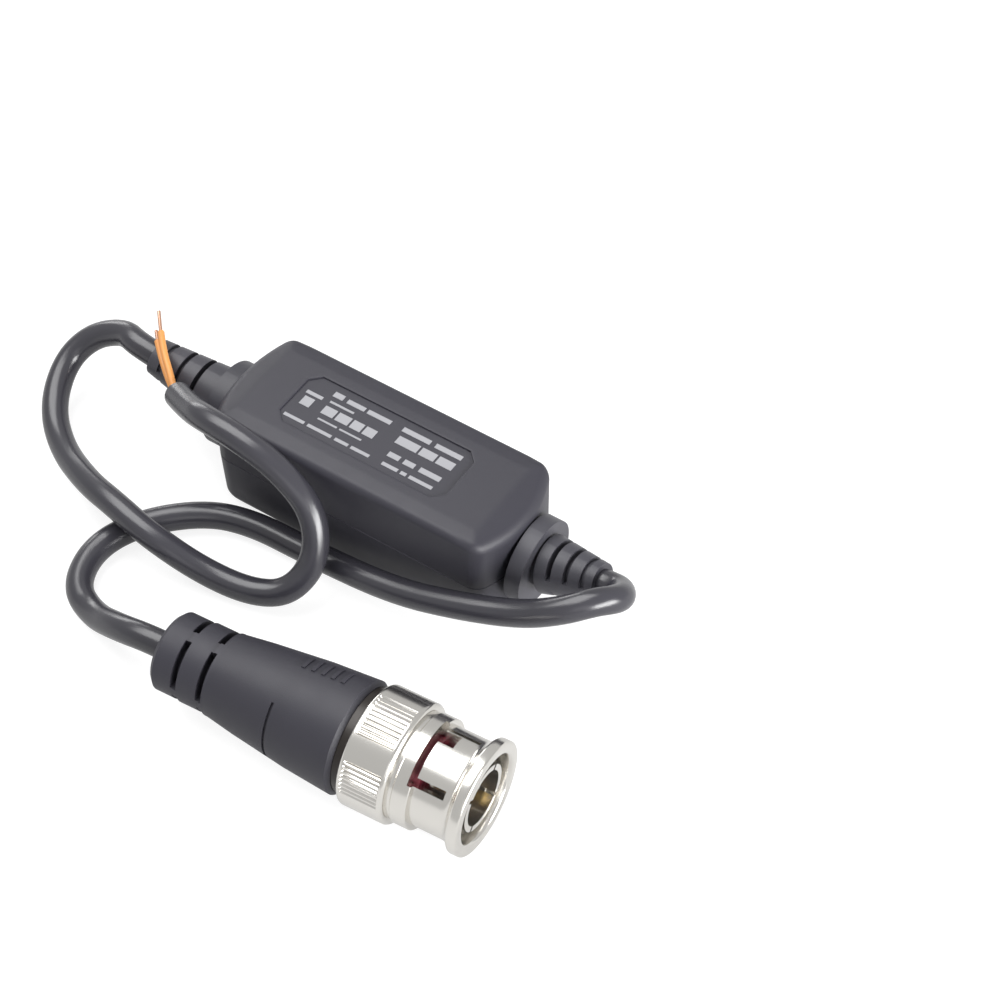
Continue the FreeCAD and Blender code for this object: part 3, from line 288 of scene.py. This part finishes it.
def plug_points(depth, radius, angle):
    """Points of the plug in mm: front - depth*axis + radius*(sin(angle)*up - cos(angle)*side)."""
    depth, radius, angle = np.broadcast_arrays(depth, radius, angle)
    across = (radius * np.sin(angle))[..., None] * UP - (radius * np.cos(angle))[..., None] * PLUG_SIDE
    return PLUG_FRONT - depth[..., None] * PLUG_AXIS + across


# Coupling nut: its length, its radii from the bore to the grip, and those inside its rear

NUT_LENGTH = 15.0
BORE = 4.9
MOUTH = 5.3
RIM = 6.9
WAIST = 5.95
RING = 6.6
NECK = 6.4
GRIP = 7.248
CHAMBER = 5.85
RING_SEAT = 6.35

# Even step round the nut in degrees, and how near it may come to an exact one
NUT_STEP = 0.75
STEP_LEAST = 0.3

# Knurl: pitch and half width of its grooves in degrees, how deep they are, and where they start and end
GROOVE_PITCH = 4.6
GROOVE_HALF = 1.66
GROOVE_DEPTH = 0.28
GROOVE_ENDS = (9.8, 14.3)
# First angle and count of the grooves in each knurled zone
KNURL_ZONES = ((5.0, 8), (65.0, 10))
GROOVES = [start + side + GROOVE_PITCH * i for side in (0, 180) for start, count in KNURL_ZONES
           for i in range(count)]

# Middle, half angle, front and rear of each opening: entry, seat, the narrow cut beside it, and ramp
OPENINGS = [(45.0, 5.12, 2.8, 7.0), (105.0, 9.77, 4.5, 7.0), (119.0, 2.56, 2.4, 7.0),
            (82.0, 37.0, 6.35, 7.0)]
# Depths between the cells of the slotted wall, and the waist's rows at each cell's front and rear
LEVELS = [2.4, 2.8, 4.5, 6.35, 6.5, 6.6, 7.0]
CELL_FRONTS = (0, 1, 2, 3, 5, 6)
CELL_REARS = (1, 2, 3, 4, 6, 7)

# The nut's section, depth and radius: the slotted bore forwards, the rim, the slotted waist, the rear
NUT_BORE = [(depth, BORE) for depth in reversed(LEVELS)]
NUT_FRONT = [
    (2.1, BORE), (2.1, MOUTH), (0.4, 5.36), (0.16, 5.45), (0.04, 5.58), (0.0, 5.72), (0.0, 6.64),
    (0.04, 6.77), (0.13, 6.86), (0.26, RIM), (1.1, RIM), (1.25, 6.86), (1.4, 6.72), (1.6, 6.45),
    (1.85, 6.2), (2.12, 6.04)]
NUT_WAIST = [
    (2.4, 5.97), (2.8, WAIST), (4.5, WAIST), (6.35, WAIST), (6.5, WAIST), (6.5, 6.5), (6.6, RING),
    (7.0, RING)]
NUT_REAR = [
    (8.4, RING), (8.5, 6.5), (8.5, NECK), (9.1, NECK), (9.1, 6.82), (9.16, 6.98), (9.3, 7.14),
    (9.5, GRIP), (9.7, GRIP), (9.85, GRIP), (14.25, GRIP), (14.4, GRIP), (14.6, GRIP), (14.8, 7.16),
    (14.94, 7.0), (NUT_LENGTH, 6.82), (NUT_LENGTH, 5.9), (14.95, CHAMBER), (12.42, CHAMBER),
    (12.42, RING_SEAT), (11.56, RING_SEAT), (11.56, CHAMBER), (8.6, CHAMBER), (8.6, BORE)]
NUT_OUTLINE = np.array(NUT_BORE + NUT_FRONT + NUT_WAIST + NUT_REAR)


def nearest_turn(angles, marks):
    """How many degrees each angle is from the nearest mark."""
    return np.abs((angles[:, None] - np.array(marks)[None] + 180) % 360 - 180).min(axis=1)


def nut_angles():
    """Even steps round the nut, and exact ones at the grooves and at the sides of the openings."""
    exact = [groove + step for groove in GROOVES for step in (-GROOVE_HALF, 0, GROOVE_HALF)]
    exact += [middle + side + half * sign for middle, half, _, _ in OPENINGS[:3]
              for side in (0, 180) for sign in (-1, 1)]
    exact = np.sort(np.array(exact) % 360)
    even = np.arange(0, 360, NUT_STEP)
    return np.sort(np.concatenate([exact, even[nearest_turn(even, exact) > STEP_LEAST]]))


def is_open(depth, angle):
    """Whether an opening takes this place of the nut's wall away. Both sides have the same ones."""
    return any(abs((angle - middle + 90) % 180 - 90) < half and front < depth < rear
               for middle, half, front, rear in OPENINGS)


def slot_walls(points, middles):
    """Faces from the outside to the bore, where an open cell of the nut's wall meets a closed one."""
    faces = []
    columns = len(middles)
    first = len(NUT_BORE) + len(NUT_FRONT)
    # The middle depth of each cell, with a closed place before the first and after the last
    depths = [0.0] + [(a + b) / 2 for a, b in zip(LEVELS, LEVELS[1:])] + [NUT_LENGTH]

    def wall(corners, wanted):
        corners = [row * columns + column for row, column in corners]
        a, b, c = points[corners[:3]]
        faces.append(tuple(corners) if np.cross(b - a, c - a) @ wanted > 0 else tuple(reversed(corners)))

    for cell, depth in enumerate(depths[1:-1]):
        outer_front, outer_rear = first + CELL_FRONTS[cell], first + CELL_REARS[cell]
        inner_front, inner_rear = len(NUT_BORE) - 1 - cell, len(NUT_BORE) - 2 - cell
        for j in range(columns):
            if not is_open(depth, middles[j]):
                continue
            c = (j + 1) % columns
            tangent = points[first * columns + c] - points[first * columns + j]
            for neighbour, side, wanted in ((j - 1, j, tangent), (c, c, -tangent)):
                if not is_open(depth, middles[neighbour]):
                    wall([(outer_front, side), (outer_rear, side), (inner_rear, side), (inner_front, side)],
                         wanted)
            if not is_open(depths[cell], middles[j]):
                wall([(outer_front, j), (outer_front, c), (inner_front, c), (inner_front, j)], -PLUG_AXIS)
            if not is_open(depths[cell + 2], middles[j]):
                wall([(outer_rear, j), (outer_rear, c), (inner_rear, c), (inner_rear, j)], PLUG_AXIS)
    return faces


def coupling_nut():
    """Bayonet nut: r(s, a) = outline(s) - 0.28*max(0, 1 - |a - a_i|/1.66) on the grip, s the depth, a the
    angle and a_i the nearest groove's, with the cells of the slots left out and walls round them."""
    depths, radii = NUT_OUTLINE.T
    angles = nut_angles()
    rows, columns = len(depths), len(angles)
    dip = GROOVE_DEPTH * np.clip(1 - nearest_turn(angles, GROOVES) / GROOVE_HALF, 0, None)
    ribbed = (depths > GROOVE_ENDS[0]) & (depths < GROOVE_ENDS[1]) & (radii == GRIP)
    radius = radii[:, None] - ribbed[:, None] * dip[None]
    points = plug_points(depths[:, None], radius, np.radians(angles)[None]).reshape(-1, 3)

    middles = (angles + np.append(angles[1:], angles[0] + 360)) / 2
    skip = np.zeros((rows, columns), bool)
    first = len(NUT_BORE) + len(NUT_FRONT)
    for i in (*range(len(NUT_BORE) - 1), *range(first, first + len(NUT_WAIST) - 1)):
        skip[i] = [is_open((depths[i] + depths[i + 1]) / 2, angle) for angle in middles]
    faces = turned_faces(rows, columns, True, skip) + slot_walls(points, middles)
    return new_piece("bayonet_nut", points, faces, nickel, "nut", "coupling_nut")


# Wave washer

SPRING_FRONT = 9.83
SPRING_HEIGHT = 1.2
SPRING_SHEET = 0.2
SPRING_RADII = (4.75, 5.75)
SPRING_WAVES = 3
SPRING_STEPS = 96


def wave_spring():
    """Wave washer: its front face is at depth 9.83 + 0.5 * (1 - cos(3a)) at the angle a, and it is 0.2 mm
    thick."""
    angles = np.linspace(0, 2 * math.pi, SPRING_STEPS, endpoint=False)
    front = SPRING_FRONT + (SPRING_HEIGHT - SPRING_SHEET) / 2 * (1 - np.cos(SPRING_WAVES * angles))
    inner, outer = SPRING_RADII
    section = [(SPRING_SHEET, inner), (0.0, inner), (0.0, outer), (SPRING_SHEET, outer)]
    points = np.concatenate([plug_points(front + back, radius, angles) for back, radius in section])
    faces = turned_faces(len(section), SPRING_STEPS, True)
    spring = new_piece("wave_spring", points, faces, steel, "balun", "wave_washer")
    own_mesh(spring)
    return spring


# What the leads carry

plug = [coupling_nut(), wave_spring()]
plug += [NODES[n] for n in ("plug_boot", "plug_body", "rear_collar", "insulator", "centre_pin", "gasket",
                            "thrust_washer", "retaining_ring")]

# Housing

TOP = 15.9
PARTING = 8.2
HALF_LENGTH = 18.5
HALF_WIDTH = 7.8
BULGE = 2.0
CORNER = 1.2
CORNER_LEAST = 0.3

# Where the top starts to fall, how steeply, and over what width the bend is softened
END_START, END_SLOPE, END_SOFT = 17.05, 0.314, 0.25
SIDE_START, SIDE_SLOPE, SIDE_SOFT = 5.5, 0.130, 0.2

# The top's rounding, wider by a quarter at the ends
RIM_ROUND = 0.9
END_WIDER = 0.25
WIDER_START = 15.5
WIDER_OVER = 3.0

# The lower shell's draw-in and rounding, and the joint of the two shells
BOTTOM_ROUND = 1.9
BOTTOM_DRAWN = 0.25
BOTTOM_INNER = 2.5
BOTTOM_INNER_CORNER = 5.2
JOINT_HALF = 0.02
JOINT_BEVEL = 0.1
JOINT_INNER = 0.3
JOINT_BAND = 0.4

LABEL_X = 11.8
LABEL_Y = 4.1
LABEL_MIDDLE = -0.65
LABEL_CLIP = 1.3
LABEL_DEPTH = 0.25
LABEL_BAND = 0.4
# Growth and drop of the rows round the recess's edge, and what 1 mm of growth adds to |x| + |y|
LABEL_EDGE = [(0.1, 0.0), (0.05, 0.01), (0.01, 0.05), (0.0, LABEL_DEPTH), (-0.3, LABEL_DEPTH)]
CLIP_GROWTH = 1.414

# Fineness of the shells' meshes
ROUND_STEPS = 480
ROUND_LEAST = 0.004
RIM_ROWS = 9
TOP_ROWS = 19
BOTTOM_ROWS = 12
REACH_MOST = 24.0
HALVINGS = 40
SHELL_SHARP = 30.0
TINY = 1e-9


def round_steps():
    """Parameter of the points round the middle: even steps, and the label recess's eight corners."""
    quarter = [math.atan2((LABEL_Y - dy) / LABEL_Y, (LABEL_X - dx) / LABEL_X)
               for dx, dy in ((0.0, LABEL_CLIP), (LABEL_CLIP, 0.0))]
    corners = np.array([sign * (turn + angle) for angle in quarter for turn in (0, -math.pi)
                        for sign in (1, -1)]) % (2 * math.pi)
    even = np.linspace(0, 2 * math.pi, ROUND_STEPS, endpoint=False)
    even = even[np.abs(even[:, None] - corners[None]).min(axis=1) > ROUND_LEAST]
    return np.sort(np.concatenate([even, corners]))


ROUND = round_steps()
COLUMNS = len(ROUND)


def outline_loop(inset, corner=CORNER):
    """The housing's outline moved inwards: sides |y| = 7.8, ends arcs that bow out by 2 mm, corners
    where the two distances a, b from a corner circle's edge give r - hypot(a, b) = inset."""
    bow = (HALF_WIDTH ** 2 + BULGE ** 2) / (2 * BULGE)
    centre = HALF_LENGTH + BULGE - bow
    angle = np.arctan2(np.sin(ROUND) * HALF_WIDTH, np.cos(ROUND) * (HALF_LENGTH + BULGE / 2))
    ux, uy = np.cos(angle), np.sin(angle)
    low, high = np.zeros(COLUMNS), np.full(COLUMNS, REACH_MOST)
    round_by = np.maximum(corner - inset, CORNER_LEAST)
    for _ in range(HALVINGS):
        reach = (low + high) / 2
        x, y = np.abs(reach * ux), np.abs(reach * uy)
        side = HALF_WIDTH - inset - y
        end = bow - inset - np.hypot(x - centre, y)
        a, b = round_by - side, round_by - end
        inside = np.where((a > 0) & (b > 0), np.hypot(a, b) < round_by, np.minimum(side, end) > 0)
        low = np.where(inside, reach, low)
        high = np.where(inside, high, reach)
    return np.stack([low * ux, low * uy], axis=1)


def soft_ramp(value, width):
    """0 below 0 and value above it, with a bend as wide as width."""
    return (value + np.sqrt(value * value + width * width)) / 2


def top_height(loop):
    """z = 15.9 - (e^4 + w^4)^(1/4), e the fall towards the ends and w that towards the sides."""
    ends = END_SLOPE * soft_ramp(np.abs(loop[:, 0]) - END_START, END_SOFT)
    sides = SIDE_SLOPE * soft_ramp(np.abs(loop[:, 1]) - SIDE_START, SIDE_SOFT)
    return TOP - (ends ** 4 + sides ** 4) ** 0.25


def label_loop(grow):
    """The label recess's outline, a rectangle with clipped corners: limits on |x|, |y| and |x|+|y|."""
    angle = np.arctan2(np.sin(ROUND) * LABEL_Y, np.cos(ROUND) * LABEL_X)
    ux, uy = np.maximum(np.abs(np.cos(angle)), TINY), np.maximum(np.abs(np.sin(angle)), TINY)
    clip = LABEL_X + LABEL_Y - LABEL_CLIP + grow * CLIP_GROWTH
    reach = np.minimum(np.minimum((LABEL_X + grow) / ux, (LABEL_Y + grow) / uy), clip / (ux + uy))
    return np.stack([LABEL_MIDDLE + reach * np.cos(angle), reach * np.sin(angle)], axis=1)


def rounding(radius, steps):
    """Inset and drop of a quarter circle from the upright side to the top."""
    turns = np.linspace(0, math.pi / 2, steps)
    return [(radius * (1 - math.cos(t)), radius * (1 - math.sin(t))) for t in turns]


def level(loop, z):
    """A row of points from a loop and its height, one for all or one for each."""
    return np.column_stack([loop, np.broadcast_to(z, len(loop))])


def shell(name, rows, node):
    """A closed shell from rows of points round the middle, the first at the bottom."""
    faces = turned_faces(len(rows), COLUMNS, False)
    last = (len(rows) - 1) * COLUMNS
    faces.append(tuple(range(last, last + COLUMNS)))
    faces.append(tuple(reversed(range(COLUMNS))))
    return new_piece(name, np.array(rows), faces, housing, "balun", node, SHELL_SHARP)


def housing_upper():
    """Upper shell: side, rim rounded by 0.9 mm at the sides and 1.1 mm at the ends, top, recess."""
    side = outline_loop(0.0)
    wide = np.clip((np.abs(side[:, 0]) - WIDER_START) / WIDER_OVER, 0, 1)
    wide = 1 + END_WIDER * wide * wide * (3 - 2 * wide)
    rows = [level(outline_loop(JOINT_INNER), PARTING + JOINT_HALF),
            level(outline_loop(JOINT_BEVEL), PARTING + JOINT_HALF),
            level(side, PARTING + JOINT_BEVEL),
            level(side, PARTING + JOINT_BAND)]
    for inset, drop in rounding(RIM_ROUND, RIM_ROWS):
        loop = outline_loop(inset * wide)
        rows.append(level(loop, top_height(loop) - drop * wide))
    rim, edge = outline_loop(RIM_ROUND * wide), label_loop(LABEL_BAND)
    for t in np.linspace(0, 1, TOP_ROWS)[1:]:
        loop = rim * (1 - t) + edge * t
        rows.append(level(loop, top_height(loop)))
    for grow, drop in LABEL_EDGE:
        rows.append(level(label_loop(grow), TOP - drop))
    return shell("cover_shell", rows, "housing_upper")


def housing_lower():
    """Lower shell: the same outline drawn in by 0.25 mm towards the table, and a rounded bottom."""
    rows = [level(outline_loop(BOTTOM_INNER, BOTTOM_INNER_CORNER), 0.0)]
    for inset, drop in reversed(rounding(BOTTOM_ROUND, BOTTOM_ROWS)):
        rows.append(level(outline_loop(BOTTOM_DRAWN + inset, CORNER + BOTTOM_DRAWN + 2 * inset), drop))
    for inset, below in ((0.01, JOINT_BAND), (0.0, JOINT_BEVEL), (JOINT_BEVEL, JOINT_HALF),
                         (JOINT_INNER, JOINT_HALF)):
        rows.append(level(outline_loop(inset), PARTING - below))
    return shell("tray_shell", rows, "housing_lower")


# Label: plain fields where its print is, with their left, right, near and far edges in mm

PRINT = [
    (-11.3, -9.9, -0.7, 0.7), (-11.6, -9.3, 1.1, 1.6), (-8.6, -7.2, 2.35, 3.15), (-6.6, -4.1, 2.35, 3.0),
    (-3.7, -0.4, 2.35, 3.0), (-8.3, -4.9, 1.35, 1.65), (-8.3, -6.6, -0.55, 0.75), (-6.3, -4.5, -0.55, 0.75),
    (-4.2, -2.7, -0.55, 0.75), (-2.4, -0.9, -0.55, 0.75), (-8.0, -5.3, -1.55, -1.3),
    (-4.9, -1.8, -1.55, -1.3), (-11.8, -8.9, -3.15, -2.7), (-8.4, -5.0, -3.15, -2.7),
    (-4.5, -2.6, -3.15, -2.7), (-2.2, 0.4, -3.15, -2.7), (1.3, 5.2, 2.35, 3.05), (5.9, 9.6, 2.35, 3.05),
    (1.6, 4.6, 0.45, 1.65), (4.9, 7.0, 0.45, 1.65), (7.3, 9.5, 0.45, 1.65), (2.0, 3.6, -1.7, -0.95),
    (4.2, 5.7, -1.7, -0.95), (6.4, 9.3, -1.7, -0.95), (2.2, 4.4, -3.15, -2.65), (4.8, 5.6, -3.15, -2.65),
    (6.0, 9.2, -3.15, -2.65)]
PRINT_SUNK = 0.02
PRINT_RAISED = 0.03


def label_print():
    """Raised plain fields on the recess's floor, 0.03 mm high."""
    points, faces = [], []
    floor = TOP - LABEL_DEPTH
    for left, right, near, far in PRINT:
        k = len(points)
        corners = [(left, near), (right, near), (right, far), (left, far)]
        points += [(x, y, z) for z in (floor - PRINT_SUNK, floor + PRINT_RAISED) for x, y in corners]
        faces += [tuple(k + 4 + i for i in range(4)), (k + 3, k + 2, k + 1, k)]
        faces += [(k + i, k + (i + 1) % 4, k + 4 + (i + 1) % 4, k + 4 + i) for i in range(4)]
    return new_piece("label_fields", points, faces, ink, "balun")


housing_upper()
housing_lower()
label_print()

# Table and world


def ray_strength(tree, lighting, mirrored, seen):
    """Strength for rays that light the object, with more for its reflections and for what is seen."""
    path = tree.nodes.new("ShaderNodeLightPath")
    kinds = ("Is Camera Ray", "Is Transmission Ray", "Is Glossy Ray")
    camera_ray, through_ray, glossy_ray = [Field(tree, path.outputs[kind]) for kind in kinds]
    return (lighting + glossy_ray * mirrored + camera_ray.most(through_ray) * seen).least(1.0)


TABLE_HALF = 3.0
TABLE_BELOW = 0.00002
TABLE_GLOW = 0.82

table_paint = Paint("table", (0.3, 0.3, 0.3), 0.9, specular=0.0)
table_paint.shader.inputs["Emission Strength"].default_value = 1.0
glow = ray_strength(table_paint.tree, lighting=0.0, mirrored=0.55, seen=1.0) * TABLE_GLOW
table_paint.tree.links.new(glow.grey(), table_paint.shader.inputs["Emission Color"])
mesh = bpy.data.meshes.new("table")
mesh.from_pydata([(x * TABLE_HALF, y * TABLE_HALF, 0) for x, y in ((-1, -1), (1, -1), (1, 1), (-1, 1))],
                 [], [(0, 1, 2, 3)])
mesh.materials.append(table_paint.material)
table = bpy.data.objects.new("table", mesh)
bpy.context.scene.collection.objects.link(table)
table.location.z = -TABLE_BELOW

world = bpy.data.worlds.new("studio")
bpy.context.scene.world = world
world.use_nodes = True
shade = ray_strength(world.node_tree, lighting=0.3, mirrored=0.3, seen=0.7)
world.node_tree.links.new(shade.grey(), world.node_tree.nodes["Background"].inputs["Color"])

# Lamps


def area_light(name, place, target, size, watts):
    """A soft rectangular lamp at place that faces target."""
    data = bpy.data.lights.new(name, "AREA")
    data.shape = "RECTANGLE"
    data.size, data.size_y = size
    data.energy = watts
    obj = bpy.data.objects.new(name, data)
    bpy.context.scene.collection.objects.link(obj)
    obj.location = place
    obj.rotation_euler = (Vector(target) - Vector(place)).to_track_quat("-Z", "Y").to_euler()


area_light("top_softbox", (-0.22, 0.02, 0.46), (0, 0, 0), (0.45, 0.45), 2.9)
area_light("right_softbox", (0.46, -0.08, 0.15), (0, 0, 0.005), (0.45, 0.2), 4.4)
area_light("front_fill", (0.3, -0.5, 0.35), (0, -0.01, 0), (0.4, 0.3), 0.25)
area_light("left_softbox", (-0.5, 0.33, 0.1), (0, 0, 0.01), (0.25, 0.12), 0.45)

# Camera: its axes and place, and a lens in mm, fitted to the photograph's view

CAMERA_RIGHT = (0.83401103, 0.55174777, 0.0)
CAMERA_UP = (-0.42523943, 0.64278353, 0.63718189)
CAMERA_BACK = (0.35156369, -0.53141673, 0.77071346)
CAMERA_PLACE = (0.12428573, -0.16272026, 0.251623)
SENSOR_WIDTH = 36.0
LENS = 96.5865
CLIP_START = 0.01

camera_data = bpy.data.cameras.new("camera")
camera_data.sensor_width = SENSOR_WIDTH
camera_data.lens = LENS
camera_data.clip_start = CLIP_START
camera = bpy.data.objects.new("camera", camera_data)
bpy.context.scene.collection.objects.link(camera)
camera.matrix_world = Matrix((
    *zip(CAMERA_RIGHT, CAMERA_UP, CAMERA_BACK, CAMERA_PLACE), (0, 0, 0, 1)))
bpy.context.scene.camera = camera
bpy.context.scene.view_settings.view_transform = "Standard"
